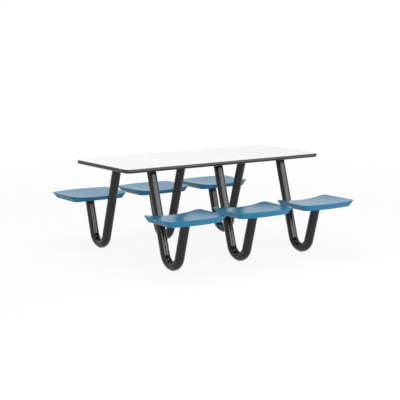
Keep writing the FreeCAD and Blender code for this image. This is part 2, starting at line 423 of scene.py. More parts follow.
    def finish(self, finish: Finish, *nodes: str) -> bpy.types.Object:
        """Dresses the piece, fixes it to the table and retires the CAD nodes that it stands for.

        Args:
            finish: its finish.
            nodes: the CAD nodes that it replaces.

        Returns:
            The finished object.
        """
        self.clear()
        self.piece.data.materials.clear()
        self.piece.data.materials.append(finish.material())
        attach(self.piece, BODY)
        if nodes:
            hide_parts(*nodes)
        LOG.info("%s: %d faces, %s", self.piece.name, len(self.piece.data.polygons), finish.name)
        return self.piece


# The finishes.


class Nodes:
    """A node tree, with short calls for its nodes."""

    def __init__(self, tree: bpy.types.NodeTree) -> None:
        """Takes up a node tree."""
        self.tree = tree

    def node(self, kind: str, **inputs: Any) -> bpy.types.Node:
        """Adds a node.

        Args:
            kind: the node's type, without its ShaderNode prefix.
            inputs: its input values or the sockets that feed them, spaces written as underscores.

        Returns:
            The new node.
        """
        made = self.tree.nodes.new(f"ShaderNode{kind}")
        for key, value in inputs.items():
            self.feed(made.inputs[key.replace("_", " ")], value)
        return made

    def feed(self, socket: Socket, value: Any) -> None:
        """Links a socket to another one, or sets it.

        Args:
            socket: the input to feed.
            value: the other socket, or the value.
        """
        if isinstance(value, bpy.types.NodeSocket):
            self.tree.links.new(value, socket)
        else:
            socket.default_value = value

    def math(self, operation: str, *values: Any, kind: str = "Math") -> bpy.types.Node:
        """Adds a Math or VectorMath node.

        Args:
            operation: its operation.
            values: its input values or the sockets that feed them, in order.
            kind: Math or VectorMath.

        Returns:
            The new node.
        """
        made = self.node(kind)
        made.operation = operation
        for socket, value in zip(made.inputs, values):
            self.feed(socket, value)
        return made

    def mix(self, share: Socket, first: Socket, second: Socket) -> Socket:
        """Mixes two shaders.

        Args:
            share: the share of the second one.
            first: the first shader.
            second: the second shader.

        Returns:
            The mix.
        """
        made = self.node("MixShader", Fac=share)
        self.feed(made.inputs[1], first)
        self.feed(made.inputs[2], second)
        return made.outputs[0]

    def seen(self) -> Socket:
        """Tells what is seen from what only lights.

        Returns:
            1 for rays from the camera and for those that gloss or glass send on, and 0 for others.
        """
        path = self.node("LightPath").outputs
        shown = self.math("MAXIMUM", path["Is Camera Ray"], path["Is Glossy Ray"]).outputs[0]
        return self.math("MAXIMUM", shown, path["Is Transmission Ray"]).outputs[0]


class Kind(Enum):
    """What a pattern is made of: the node that makes it, and that node's output."""

    NOISE = ("TexNoise", "Fac")
    CHIPS = ("TexVoronoi", "Distance")


@dataclass(frozen=True)
class Pattern:
    """A pattern of so many cells a metre: one number for all ways, or one for each axis."""

    cells: float | Point
    detail: float = 0.0
    kind: Kind = Kind.NOISE


@dataclass(frozen=True)
class Relief:
    """A pattern that stands out: its full height in metres, and the share of it that shows."""

    pattern: Pattern
    depth: float
    strength: float


class Shader(Nodes):
    """A material with one Principled shader, and calls for what the finishes are made of."""

    def __init__(self, name: str) -> None:
        """Starts a material on Object coordinates.

        Args:
            name: the material's name.
        """
        self.material = bpy.data.materials.new(name)
        self.material.use_nodes = True
        super().__init__(self.material.node_tree)
        self.surface = self.tree.nodes["Principled BSDF"]
        self.place = self.node("TexCoord").outputs["Object"]
        self.patterns: dict[Pattern, Socket] = {}

    def set(self, **inputs: Any) -> None:
        """Sets or links inputs of the Principled shader."""
        for key, value in inputs.items():
            self.feed(self.surface.inputs[key.replace("_", " ")], value)

    def pattern(self, pattern: Pattern) -> Socket:
        """Makes a pattern the first time that it is asked for.

        Args:
            pattern: what it is like.

        Returns:
            Its value.
        """
        if pattern not in self.patterns:
            node, output = pattern.kind.value
            place, scale = self.place, pattern.cells
            if isinstance(scale, tuple):
                place, scale = self.node("Mapping", Vector=place, Scale=scale).outputs["Vector"], 1.0
            made = self.node(node, Vector=place, Scale=scale, Detail=pattern.detail)
            self.patterns[pattern] = made.outputs[output]
        return self.patterns[pattern]

    def span(self, value: Socket, low: float, high: float, start: float = 0.3, end: float = 0.7) -> Socket:
        """Returns a value mapped from a start and end to a low and high."""
        made = self.node("MapRange", Value=value, From_Min=start, From_Max=end, To_Min=low, To_Max=high)
        return made.outputs["Result"]

    def shade(self, share: Socket, dark: Colour, light: Colour, start: float, end: float) -> Socket:
        """Picks a colour between two.

        Args:
            share: what picks it.
            dark: the colour up to the start.
            light: the colour from the end on.
            start: the share that gives the dark colour.
            end: the share that gives the light colour.

        Returns:
            The colour.
        """
        ramp = self.node("ValToRGB", Fac=share)
        for stop, position, colour in zip(ramp.color_ramp.elements, (start, end), (dark, light)):
            stop.position = position
            stop.color = (*colour, 1.0)
        return ramp.outputs["Color"]

    def lying(self, upright: float, flat: float) -> Socket:
        """Returns 0 where the normal's rise is up to upright, and 1 where it is flat or more."""
        rise = self.node("SeparateXYZ", Vector=self.node("TexCoord").outputs["Normal"]).outputs["Z"]
        return self.span(rise, 0.0, 1.0, upright, flat)

    def combine(self, base: Socket, much: float, other: Socket, little: float) -> Socket:
        """Returns much of one value plus little of another."""
        part = self.math("MULTIPLY", base, much).outputs[0]
        return self.math("MULTIPLY_ADD", other, little, part).outputs[0]

    def raised(self, relief: Relief, under: Socket | None) -> Socket:
        """Makes the normal of a relief.

        Args:
            relief: what it is like.
            under: the normal of a coarser relief below it, if there is one.

        Returns:
            The normal.
        """
        height = self.pattern(relief.pattern)
        made = self.node("Bump", Height=height, Distance=relief.depth, Strength=relief.strength)
        if under is not None:
            self.feed(made.inputs["Normal"], under)
        return made.outputs["Normal"]


@dataclass(frozen=True)
class Finish:
    """A finish: its name, the record's material slot, and what its material is made of.

    The tone picks its colour between dark and light, the gloss picks its roughness, and its reliefs lie on
    each other, the coarsest first.
    """

    name: str
    slot: str
    dark: Colour
    light: Colour
    tone: Pattern
    gloss: Pattern
    rough: tuple[float, float]
    reliefs: tuple[Relief, ...]
    tone_reach: tuple[float, float] = (0.3, 0.7)
    specular: float = 0.5
    metallic: float = 0.0

    def vary(self, shader: Shader) -> tuple[Socket, Socket]:
        """Returns what picks the colour, and the roughness."""
        return shader.pattern(self.tone), shader.span(shader.pattern(self.gloss), *self.rough)

    def material(self) -> bpy.types.Material:
        """Makes the material the first time that it is asked for.

        Returns:
            The material.
        """
        made = bpy.data.materials.get(self.name)
        if made is None:
            shader = Shader(self.name)
            normal = None
            for relief in self.reliefs:
                normal = shader.raised(relief, normal)
            share, roughness = self.vary(shader)
            shader.set(
                Base_Color=shader.shade(share, self.dark, self.light, *self.tone_reach),
                Roughness=roughness,
                Normal=normal,
                Specular_IOR_Level=self.specular,
                Metallic=self.metallic,
            )
            made = shader.material
        return made


@dataclass(frozen=True)
class SheenAndWearFinish(Finish):
    """A finish that is paler on faces that lie flat and look up, which is a painted sheen, and more polished
    there, where people sit.
    """

    upright: float = 0.45
    flat: float = 0.85
    # share of the colour picked by how flat a face lies: a painted sheen
    paler: float = 0.7
    grain: float = 0.10

    def vary(self, shader: Shader) -> tuple[Socket, Socket]:
        """Lets how flat a face lies pick most of the colour, as a painted sheen, and most of the roughness,
        as wear, and the patterns the rest.

        Args:
            shader: the shader to build on.

        Returns:
            What picks the colour, and the roughness.
        """
        # paler colour where faces look up is a painted sheen; the lower roughness there is wear
        sheen_and_wear = shader.lying(self.upright, self.flat)
        share = shader.combine(sheen_and_wear, self.paler, shader.pattern(self.tone), 1.0 - self.paler)
        polish = shader.span(sheen_and_wear, *self.rough, start=0.0, end=1.0)
        return share, shader.combine(polish, 1.0, shader.pattern(self.gloss), self.grain)


# White pressed laminate: a fine suede texture and a faint cloud of tone.
SUEDE = Pattern(1400.0, detail=3.0)
LAMINATE = Finish(
    "white_laminate", "laminate", dark=(0.86, 0.86, 0.86), light=(0.90, 0.90, 0.897), rough=(0.34, 0.46),
    tone=Pattern(6.0, detail=4.0), gloss=SUEDE, reliefs=(Relief(SUEDE, depth=0.00004, strength=0.5),),
)

# Black vinyl: fine lines along the strip from its die, under a grain, and a soft sheen.
LINES = Pattern((3.0, 3.0, 900.0), detail=2.0)
VINYL_GRAIN = Relief(Pattern(1100.0, detail=2.0), depth=0.00003, strength=0.5)
VINYL = Finish(
    "black_vinyl_edge", "edge_vinyl", dark=(0.014, 0.014, 0.0145), light=(0.022, 0.022, 0.0225),
    tone=LINES, gloss=LINES, rough=(0.30, 0.42), specular=0.4,
    reliefs=(Relief(LINES, depth=0.00005, strength=0.5), VINYL_GRAIN),
)

# Black powder coat: orange peel over a slow mottle, half gloss.
PEEL = Relief(Pattern(420.0, detail=1.0), depth=0.00004, strength=0.5)
SPECKS = Pattern(2600.0, detail=1.0)
POWDER = Finish(
    "black_powder_coat", "black_coat", dark=(0.004, 0.004, 0.0042), light=(0.008, 0.008, 0.0083),
    tone=Pattern(30.0, detail=3.0), gloss=SPECKS, rough=(0.15, 0.22), specular=0.36,
    reliefs=(PEEL, Relief(SPECKS, depth=0.00001, strength=0.4)),
)

# Blue moulded plastic: a fine spark grain, and a paler colour on faces that look up, which is a painted
# sheen.
SPARK_GRAIN = Pattern(1500.0, detail=2.0)
SEAT_BLUE = SheenAndWearFinish(
    "blue_moulded_seat", "seat_blue", dark=(0.010, 0.142, 0.262), light=(0.015, 0.182, 0.322),
    tone=Pattern(9.0, detail=3.0), tone_reach=(0.1, 0.9), gloss=SPARK_GRAIN, rough=(0.33, 0.20),
    reliefs=(Relief(SPARK_GRAIN, depth=0.00003, strength=0.5),), specular=0.2,
)

# Dark brown backing sheet: paper fibres under resin, sanded in one direction.
FIBRES = Pattern((18.0, 160.0, 18.0), detail=6.0)
SANDING = Relief(Pattern((30.0, 1800.0, 30.0), detail=2.0), depth=0.00004, strength=0.6)
BACKER = Finish(
    "brown_backing_sheet", "backer", dark=(0.045, 0.028, 0.018), light=(0.085, 0.054, 0.034),
    tone=FIBRES, gloss=FIBRES, rough=(0.62, 0.78), reliefs=(SANDING,),
)

# Bare particle board: pressed chips of several tones.
BOARD_CHIPS = Pattern(420.0, kind=Kind.CHIPS)
BOARD = Finish(
    "particle_board", "core_board", dark=(0.26, 0.17, 0.09), light=(0.56, 0.42, 0.26), rough=(0.75, 0.9),
    tone=BOARD_CHIPS, tone_reach=(0.1, 0.7), gloss=BOARD_CHIPS,
    reliefs=(Relief(BOARD_CHIPS, depth=0.0002, strength=0.6),),
)

# Zinc plate and bare brass: fine turning marks and a clouded brightness.
CLOUD = Pattern(260.0, detail=3.0)
MARKS = Relief(Pattern((300.0, 300.0, 6000.0), detail=2.0), depth=0.00001, strength=0.5)
ZINC = Finish(
    "zinc_plate", "zinc_steel", dark=(0.50, 0.50, 0.49), light=(0.66, 0.66, 0.64), metallic=1.0,
    tone=CLOUD, gloss=CLOUD, rough=(0.26, 0.42), reliefs=(MARKS,),
)
BRASS = replace(
    ZINC, name="turned_brass", slot="insert_brass", dark=(0.50, 0.34, 0.12), light=(0.68, 0.49, 0.20)
)

# Black nylon: matte, with fine scuffs from the floor.
SCUFFS = Pattern((900.0, 120.0, 300.0), detail=4.0)
NYLON = Finish(
    "black_nylon", "glide_nylon", dark=(0.022, 0.022, 0.022), light=(0.050, 0.049, 0.047),
    tone=SCUFFS, gloss=SCUFFS, rough=(0.5, 0.7), reliefs=(Relief(SCUFFS, depth=0.00003, strength=0.6),),
)


def dress_node(node: str, finish: Finish) -> None:
    """Gives a CAD node that stays in view its finish.

    Args:
        node: the node's name.
        finish: its finish.
    """
    piece = frame["nodes"][node]
    piece.data.materials.clear()
    piece.data.materials.append(finish.material())
    LOG.info("%s: CAD shape kept, %s", node, finish.name)


# The top.


@dataclass
class TableTop:
    """The laminated top and its crowned edge moulding."""

    length: float = 1.829
    width: float = 0.762
    height: float = 0.757
    thickness: float = 0.028
    corner_radius: float = 0.040
    moulding_wall: float = 0.0015
    moulding_crown: float = 0.0045
    spine_depth: float = 0.012
    spine_thickness: float = 0.0024
    crown_steps: int = 14
    corner_steps: int = 14

    def draw_profile(self) -> Draft:
        """Draws the moulding's section at the middle of the near side.

        Returns:
            The draft in edit mode, the closed section selected as one face.
        """
        inner = -self.width / 2 + self.moulding_wall + self.moulding_crown
        lip = inner - self.moulding_wall
        top = self.height
        low = top - self.thickness
        middle = (top + low) / 2
        half = self.thickness / 2
        radius = (half**2 + self.moulding_crown**2) / (2 * self.moulding_crown)
        centre = (0.0, lip - self.moulding_crown + radius, middle)
        swing = 2 * math.asin(half / radius)
        spine_half = self.spine_thickness / 2
        draft = Draft.point("edge_moulding" + DRESSED, (0.0, lip, low))
        draft.spin(centre, (1, 0, 0), -swing, self.crown_steps)
        for inward, rise in (
            (self.moulding_wall, 0),
            (0, middle + spine_half - top),
            (self.spine_depth, 0),
            (0, -self.spine_thickness),
            (-self.spine_depth, 0),
            (0, low - middle + spine_half),
            (-self.moulding_wall, 0),
        ):
            draft.extrude((0, inward, rise))
        draft.merge()
        draft.fill()
        return draft

    def build_moulding(self) -> None:
        """Sweeps the section round the top: straight runs and a quarter turn at each corner."""
        draft = self.draw_profile()
        x = self.length / 2 - self.corner_radius
        y = self.width / 2 - self.corner_radius
        for run, corner in (
            ((x, 0, 0), (x, -y, 0)),
            ((0, 2 * y, 0), (x, y, 0)),
            ((-2 * x, 0, 0), (-x, y, 0)),
            ((0, -2 * y, 0), (-x, -y, 0)),
        ):
            draft.extrude(run)
            draft.spin(corner, UP, math.pi / 2, self.corner_steps)
        draft.extrude((x, 0, 0))
        draft.choose(
            Element.FACE,
            lambda face, middle: abs(middle.x) < LEVEL and abs(face.normal.x) > 0.9 and middle.y < 0,
        )
        bpy.ops.mesh.delete(type="FACE")
        draft.merge()
        draft.outward()
        draft.smooth(degrees=32)
        draft.finish(VINYL, "edge_moulding")

    def build(self) -> None:
        """Builds the moulding and dresses the flat layers."""
        self.build_moulding()
        dress_node("top_laminate", LAMINATE)
        dress_node("top_core", BOARD)
        dress_node("top_backer", BACKER)


# The legs.


@dataclass(frozen=True)
class Run:
    """A straight run of a leg: the sign of its way along Y, its lean, and the level of the plate above it."""

    way: int
    lean: float
    level: float


@dataclass
class BentLeg:
    """One bent tube from the top, round its foot, to a seat, drawn on the far side."""

    radius: float = 0.0355
    wall: float = 0.003
    bend_radius: float = 0.1013
    foot_offset: float = 0.526
    bend_height: float = 0.1376
    to_table: Run = Run(way=-1, lean=math.radians(16.9), level=0.723)
    to_seat: Run = Run(way=1, lean=math.radians(15.8), level=0.4006)
    spacing: float = 0.617
    stud_radius: float = 0.0046
    stud_facets: int = 24
    overrun: float = 0.05
    facets: int = 80
    bend_steps: int = 48
    weld_radius: float = 0.0042
    weld_offset: float = 0.15
    weld_facets: int = 10
    weld_ripples: int = 56
    ripple_steps: int = 4
    ripple_height: float = 0.0007

    def start(self, run: Run) -> Vector:
        """Returns where the bend meets a run."""
        y = self.foot_offset + run.way * self.bend_radius * math.cos(run.lean)
        return Vector((0, y, self.bend_height - self.bend_radius * math.sin(run.lean)))

    def end(self, run: Run) -> Vector:
        """Finds where a run's centre line meets its plate.

        Args:
            run: the run.

        Returns:
            The place.
        """
        start = self.start(run)
        rise = run.level - start.z
        return start + Vector((0, run.way * rise * math.tan(run.lean), rise))

    def beyond(self, run: Run) -> Vector:
        """Returns a point on a run's centre line past its plate, for the cut that ends the tube."""
        along = Vector((0, run.way * math.sin(run.lean), math.cos(run.lean)))
        return self.end(run) + along * self.overrun

    @staticmethod
    def cut_end(draft: Draft, level: float) -> None:
        """Cuts the selection level and closes the wall's two rims with a ring.

        Args:
            draft: the draft in edit mode.
            level: where it is cut.
        """
        draft.cut(level)
        draft.choose_border()
        draft.bridge()

    def build_tube(self) -> Draft:
        """Extrudes and spins a circle along the leg, cuts it level under both plates and gives it its wall.

        Returns:
            The draft of the far, middle tube.
        """
        table, seat = self.to_table, self.to_seat
        draft = Draft.primitive(
            "leg_tube",
            bpy.ops.mesh.primitive_circle_add,
            vertices=self.facets,
            radius=self.radius,
            location=self.beyond(table),
            rotation=(table.lean, 0, 0),
        )
        draft.edit()
        draft.extrude(tuple(self.start(table) - self.beyond(table)))
        turn = math.pi - table.lean - seat.lean
        draft.spin((0, self.foot_offset, self.bend_height), (1, 0, 0), turn, self.bend_steps)
        draft.extrude(tuple(self.beyond(seat) - self.start(seat)))
        draft.merge()
        draft.outward()
        draft.modify("SOLIDIFY", thickness=self.wall, offset=-1.0, use_even_offset=True)
        draft.edit()
        self.cut_end(draft, table.level)
        draft.choose(Element.FACE, lambda face, middle: middle.y > self.foot_offset)
        self.cut_end(draft, seat.level)
        middle = (0, self.foot_offset, self.wall)
        draft.carve(Draft.drum("stud", self.stud_facets, self.stud_radius, 4 * self.wall, middle))
        draft.smooth(degrees=40)
        return draft

    def ripple(self, place: Vector) -> float:
        """Returns the share of the ripple's height at a place round a bead about the origin."""
        return 0.5 + 0.5 * math.cos(self.weld_ripples * math.atan2(place.y, place.x))

    def build_weld(self, run: Run) -> Draft:
        """Lays a rippled weld bead round a tube's end.

        Args:
            run: the run that ends there, whose lean stretches the bead along Y.

        Returns:
            The draft of the bead.
        """
        end = self.end(run)
        draft = Draft.primitive(
            "weld",
            bpy.ops.mesh.primitive_torus_add,
            major_segments=self.ripple_steps * self.weld_ripples,
            minor_segments=self.weld_facets,
            major_radius=self.radius + self.weld_radius * self.weld_offset,
            minor_radius=self.weld_radius,
        )
        draft.push(Direction.OUTWARD, self.ripple_height, self.ripple)
        draft.edit()
        draft.scale((1, 1 / math.cos(run.lean), 1), (0, 0, 0))
        draft.move((0, end.y, end.z))
        self.cut_end(draft, end.z)
        draft.outward()
        draft.smooth(degrees=50)
        return draft

    def build(self) -> None:
        """Builds the six tubes and their welds."""
        tube = self.build_tube()
        bead = self.build_weld(self.to_table).join([self.build_weld(self.to_seat)])
        for side, station in places():
            node = place_name("leg_tube", side, station)
            tube.copy(node + DRESSED).place(side, station, self.spacing).finish(POWDER, node)
            welds = bead.copy(place_name("welds", side, station))
            welds.place(side, station, self.spacing).finish(POWDER)
            dress_node(place_name("floor_glide", side, station), NYLON)
        tube.drop()
        bead.drop()


# Plates, rails and fixings.


@dataclass
class Steelwork:
    """The plates and rails under the top and in the seats, with their edges broken."""

    plate_edge: float = 0.0009
    rail_edge: float = 0.0006
    edge_steps: int = 2
    sharp: float = math.radians(50)

    def soften(self, node: str, edge: float) -> None:
        """Copies a CAD node and rounds its sharp edges.

        Args:
            node: the node's name.
            edge: the width of the rounding.
        """
        draft = Draft.from_node(node)
        draft.modify(
            "BEVEL", width=edge, segments=self.edge_steps, limit_method="ANGLE", angle_limit=self.sharp
        )
        draft.smooth(degrees=30)
        draft.finish(POWDER, node)

    def build(self) -> None:
        """Builds all plates and rails."""
        for side, station in places():
            self.soften(place_name("table_plate", side, station), self.plate_edge)
            self.soften(place_name("seat_plate", side, station), self.plate_edge)
        for station in Station:
            self.soften(f"cross_rail_{station.name.lower()}", self.rail_edge)


@dataclass(frozen=True)
class ScrewSet:
    """The screws of one kind of plate: the CAD node, half their pattern each way, and the shank's length."""

    node: str
    across: float
    along: float
    shank: float


@dataclass
class Fixings:
    """Button-head screws under every plate, and the inserts that they turn into."""

    head_radius: float = 0.007
    head_height: float = 0.0045
    head_rounding: float = 0.0027
    socket_sides: int = 6
    socket_radius: float = 0.002887
    socket_depth: float = 0.0026
    shank_radius: float = 0.0039
    tip_rounding: float = 0.0008
    head_facets: int = 40
    shank_facets: int = 24
    spacing: float = 0.617
    top_set: ScrewSet = ScrewSet("top_screws", across=0.055, along=0.075, shank=0.021)
    seat_set: ScrewSet = ScrewSet("seat_screws", across=0.080, along=0.065, shank=0.0155)

    def build_screw(self, length: float) -> Draft:
        """Models one screw that points up, the flat of its head at the origin.

        Args:
            length: the shank's length.

        Returns:
            The draft of the screw.
        """
        head_middle = (0, 0, -self.head_height / 2)
        head = Draft.drum("screw", self.head_facets, self.head_radius, self.head_height, head_middle)
        head.edit()
        head.choose(Element.EDGE, lambda edge, middle: middle.z < -self.head_height + LEVEL)
        head.round_edges(self.head_rounding, steps=6)
        bottom = (0, 0, -self.head_height)
        height = 2 * self.socket_depth
        head.carve(Draft.drum("socket", self.socket_sides, self.socket_radius, height, bottom))
        shank = Draft.drum("shank", self.shank_facets, self.shank_radius, length, (0, 0, length / 2))
        shank.edit()
        shank.choose(Element.EDGE, lambda edge, middle: middle.z > length - LEVEL)
        shank.round_edges(self.tip_rounding, steps=2)
        head.join([shank])
        head.smooth(degrees=35)
        return head

    def build_set(self, screws: ScrewSet, y: float, level: float) -> None:
        """Sets four screws in each of the six plates.

        Args:
            screws: what the screws are like and where they stand.
            y: the middle of a far-side plate, along Y.
            level: the plates' underside.
        """
        screw = self.build_screw(screws.shank)
        copies = []
        for side, station in places():
            for across in (-screws.across, screws.across):
                for along in (-screws.along, screws.along):
                    copy = screw.copy("screw")
                    copy.edit()
                    copy.move((station.value * self.spacing + across, side.value * y + along, level))
                    copies.append(copy)
        whole = copies[0].join(copies[1:])
        whole.piece.name = screws.node + DRESSED
        whole.finish(ZINC, screws.node)
        screw.drop()

    def build(self, leg: BentLeg) -> None:
        """Builds both sets of screws and dresses the inserts.

        Args:
            leg: the leg whose ends carry the plates.
        """
        for screws, run in ((self.top_set, leg.to_table), (self.seat_set, leg.to_seat)):
            self.build_set(screws, leg.end(run).y, run.level)
        dress_node("core_inserts", BRASS)
        dress_node("seat_inserts", BRASS)


# The seats.


@dataclass
class SeatPlan:
    """The seat's outline at one level: a hollow front, a bowed rear, straight sides, round corners."""

    front_half: float
    rear_half: float
    front: float
    rear: float
    hollow: float
    bulge: float
    corner: float
    height: float
    bow_steps: int = 14
    corner_steps: int = 9
    side_steps: int = 9
    seam: float = 0.00002

    @staticmethod
    def bow(half: float, rise: float) -> float:
        """Returns the radius of an arc with a half chord and a rise."""
        return (half * half + rise * rise) / (2 * rise)

    def draw(self, name: str) -> Draft:
        """Draws the outline with spins and straight runs, as one closed loop.

        Args:
            name: the draft's name.

        Returns:
            The draft in edit mode, all of it selected.
        """
        front_radius = self.bow(self.front_half, self.hollow)
        rear_radius = self.bow(self.rear_half, self.bulge)
        front_middle = self.front + self.hollow
        rear_middle = self.rear + self.bulge
        front_centre = Vector((0, front_middle - front_radius))
        rear_centre = Vector((0, rear_middle - rear_radius))
        low = Vector((self.front_half, self.front))
        high = Vector((self.rear_half, self.rear))
        along = (high - low).normalized()
        inward = Vector((-along.y, along.x))
        first = self.fillet(front_centre, front_radius + self.corner, low, along, inward, low)
        second = self.fillet(rear_centre, rear_radius - self.corner, low, along, inward, high)
        front_touch = front_centre + (first - front_centre).normalized() * front_radius
        rear_touch = rear_centre + (second - rear_centre).normalized() * rear_radius
        side_start = first - inward * self.corner
        side_end = second - inward * self.corner

        draft = Draft.point(name, (0, front_middle, self.height))
        self.arc(draft, front_centre, Vector((0, front_middle)), front_touch, self.bow_steps)
        self.arc(draft, first, front_touch, side_start, self.corner_steps)
        step = (side_end - side_start) / self.side_steps
        for _ in range(self.side_steps):
            draft.extrude((step.x, step.y, 0))
        self.arc(draft, second, side_end, rear_touch, self.corner_steps)
        self.arc(draft, rear_centre, rear_touch, Vector((0, rear_middle)), self.bow_steps)
        draft.modify("MIRROR", merge_threshold=self.seam)
        draft.edit()
        draft.merge()
        return draft

    def fillet(
        self, centre: Vector, reach: float, start: Vector, along: Vector, inward: Vector, near: Vector
    ) -> Vector:
        """Finds the centre of the corner circle that touches a bow and the straight side.

        Args:
            centre: the bow's centre.
            reach: the distance from the bow's centre to the corner circle's centre.
            start: a point on the side.
            along: the side's direction.
            inward: the side's inward normal.
            near: the sharp corner that the circle replaces.

        Returns:
            The corner circle's centre.
        """
        base = start + inward * self.corner - centre
        half = base.dot(along)
        root = math.sqrt(half * half - base.dot(base) + reach * reach)
        spots = [centre + base + along * (-half + sign * root) for sign in (-1, 1)]
        return min(spots, key=lambda spot: (spot - near).length)

    def arc(self, draft: Draft, centre: Vector, start: Vector, end: Vector, steps: int) -> None:
        """Spins the draft's last vertex from one point to another about a centre.

        Args:
            draft: the draft in edit mode, its last vertex selected.
            centre: the arc's centre.
            start: where the arc starts.
            end: where it ends.
            steps: how many steps it takes.
        """
        first = start - centre
        last = end - centre
        angle = math.atan2(first.x * last.y - first.y * last.x, first.dot(last))
        draft.spin((centre.x, centre.y, self.height), UP, angle, steps)


@dataclass
class Seat:
    """One moulded seat, drawn about the middle of its plate at the far, middle place."""

    base: float = 0.3926
    rim_rise: float = 0.0454
    front_half: float = 0.2535
    rear_half: float = 0.2638
    front: float = -0.203
    rear: float = 0.1564
    hollow: float = 0.0205
    bulge: float = 0.0408
    corner: float = 0.040
    front_side_inset: float = 0.029
    rear_side_inset: float = 0.0352
    front_inset: float = 0.0168
    rear_inset: float = 0.0104
    foot_hollow: float = 0.0052
    foot_bulge: float = 0.0225
    centre_rises: Point = (0.0275, 0.0336, 0.0437)
    edge_rises: Point = (0.0508, 0.0465, 0.0468)
    wall: float = 0.0045
    roof: float = 0.005
    rim_rounding: float = 0.004
    foot_rounding: float = 0.0015
    sharp: float = 1.0
    rings: tuple[float, ...] = (0.965, 0.92, 0.86, 0.79, 0.71, 0.62, 0.52, 0.42, 0.32, 0.22, 0.12)
    wall_cuts: int = 3
    lift: float = 0.01
    press: float = -0.05
    rib: float = 0.003
    rib_recess: float = 0.005
    screw_across: float = 0.080
    screw_along: float = 0.065
    boss_radius: float = 0.0105
    bore_radius: float = 0.006
    bore_depth: float = 0.012
    clearance: float = 0.002
    post_facets: int = 32
    pocket: Point = (0.202, 0.172, 0.018)
    pocket_corner: float = 0.015
    plate_top: float = 0.4066
    spacing: float = 0.617

    def plan(self, rise: float, inset: float) -> SeatPlan:
        """Draws up the outline at one level.

        Args:
            rise: the level above the foot.
            inset: how far the outline is moved inwards.

        Returns:
            The outline.
        """
        share = rise / self.rim_rise
        return SeatPlan(
            front_half=between(self.front_half - self.front_side_inset, self.front_half, share) - inset,
            rear_half=between(self.rear_half - self.rear_side_inset, self.rear_half, share) - inset,
            front=between(self.front + self.front_inset, self.front, share) + inset,
            rear=between(self.rear - self.rear_inset, self.rear, share) - inset,
            hollow=between(self.foot_hollow, self.hollow, share),
            bulge=between(self.foot_bulge, self.bulge, share),
            corner=self.corner - inset,
            height=self.base + rise,
        )

    @staticmethod
    def through(position: float, values: Point) -> float:
        """Reads a parabola.

        Args:
            position: where it is read, from -1 to 1.
            values: what it is at -1, 0 and 1.

        Returns:
            What it is there.
        """
        front, middle, rear = values
        return (
            front * position * (position - 1) / 2
            + middle * (1 - position * position)
            + rear * position * (position + 1) / 2
        )

    def saddle(self, place: Vector) -> float:
        """Works out the upper surface.

        Args:
            place: a place about the plate's middle.

        Returns:
            The surface's rise above the foot there.
        """
        half_width = (self.front_half + self.rear_half) / 2
        along = (place.y - (self.rear + self.front) / 2) / ((self.rear - self.front) / 2)
        across = place.x / half_width
        middle = self.through(along, self.centre_rises)
        edge = self.through(along, self.edge_rises)
        return middle + (edge - middle) * across * across

    def build_block(self, name: str, inset: float, drop: float, foot: float) -> Draft:
        """Builds a closed block: the saddle on top, the drafted wall round it and a flat foot.

        Args:
            name: the draft's name.
            inset: how far the block lies inside the outline.
            drop: how far its top lies below the saddle.
            foot: how far its foot lies above the seat's own.

        Returns:
            The draft in object mode.
        """
        top = self.plan(self.rim_rise - drop, inset)
        block = top.draw(name)
        block.fill()
        middle = (0.0, (self.front + self.rear) / 2, top.height)
        last = 1.0
        for ring in self.rings:
            bpy.ops.mesh.extrude_region()
            block.scale((ring / last, ring / last, 1), middle)
            last = ring
        bpy.ops.mesh.poke()
        block.choose(Element.FACE, lambda face, middle: len(face.verts) > 4)
        bpy.ops.mesh.delete(type="ONLY_FACE")
        block.all()
        block.move((0, 0, self.lift))
        start = top.height + self.lift
        block.push(
            Direction.UPWARD,
            self.press,
            lambda place: (self.base + self.saddle(place) - drop - start) / self.press,
        )
        loop = self.plan(foot, inset).draw(f"{name}_foot")
        loop.done()
        block.join([loop])
        block.edit()
        block.choose_border()
        block.bridge(cuts=self.wall_cuts)
        block.choose_border()
        block.fill()
        block.outward()
        block.done()
        return block

    def build_bar(self, name: str, low: Point, high: Point) -> Draft:
        """Builds a straight bar between two corners, as a tool for a Boolean.

        Args:
            name: the draft's name.
            low: its lowest corner.
            high: its highest corner.

        Returns:
            The draft in object mode.
        """
        size = Vector(high) - Vector(low)
        middle = (Vector(low) + Vector(high)) / 2
        return Draft.primitive(name, bpy.ops.mesh.primitive_cube_add, size=1.0, location=middle, scale=size)

    def build_posts(self, name: str, radius: float, low: float, high: float) -> list[Draft]:
        """Builds a round post over each of the plate's four screws.

        Args:
            name: the drafts' name.
            radius: their radius.
            low: how far above the plate they begin.
            high: how far above the plate they end.

        Returns:
            The drafts, the last one in object mode.
        """
        z = self.plate_top + (low + high) / 2
        return [
            Draft.drum(name, self.post_facets, radius, high - low, (x, y, z))
            for x in (-self.screw_across, self.screw_across)
            for y in (-self.screw_along, self.screw_along)
        ]

    def build_hollow(self) -> Draft:
        """Builds the space under the roof: ribs and bosses stand in it, and the plate's pocket is free.

        Returns:
            The draft in object mode.
        """
        hollow = self.build_block("seat_hollow", self.wall, self.roof, -self.foot_rounding)
        low = self.base + self.rib_recess
        high = self.base + 2 * self.rim_rise
        half = self.rib / 2
        for step in (-2, -1, 0, 1, 2):
            x = step * self.screw_across
            y = step * self.screw_along
            hollow.carve(self.build_bar("rib", (x - half, -1, low), (x + half, 1, high)))
            hollow.carve(self.build_bar("rib", (-1, y - half, low), (1, y + half, high)))
        for boss in self.build_posts("boss", self.boss_radius, 0.0, self.rim_rise):
            hollow.carve(boss)
        length, width, depth = self.pocket
        pocket = self.build_bar(
            "pocket",
            (-length / 2, -width / 2, self.plate_top - depth),
            (length / 2, width / 2, self.plate_top),
        )
        pocket.edit()
        level = self.plate_top - depth / 2
        pocket.choose(Element.EDGE, lambda edge, middle: abs(middle.z - level) < LEVEL)
        pocket.round_edges(self.pocket_corner, steps=6)
        return hollow.carve(pocket, Operation.ADD)

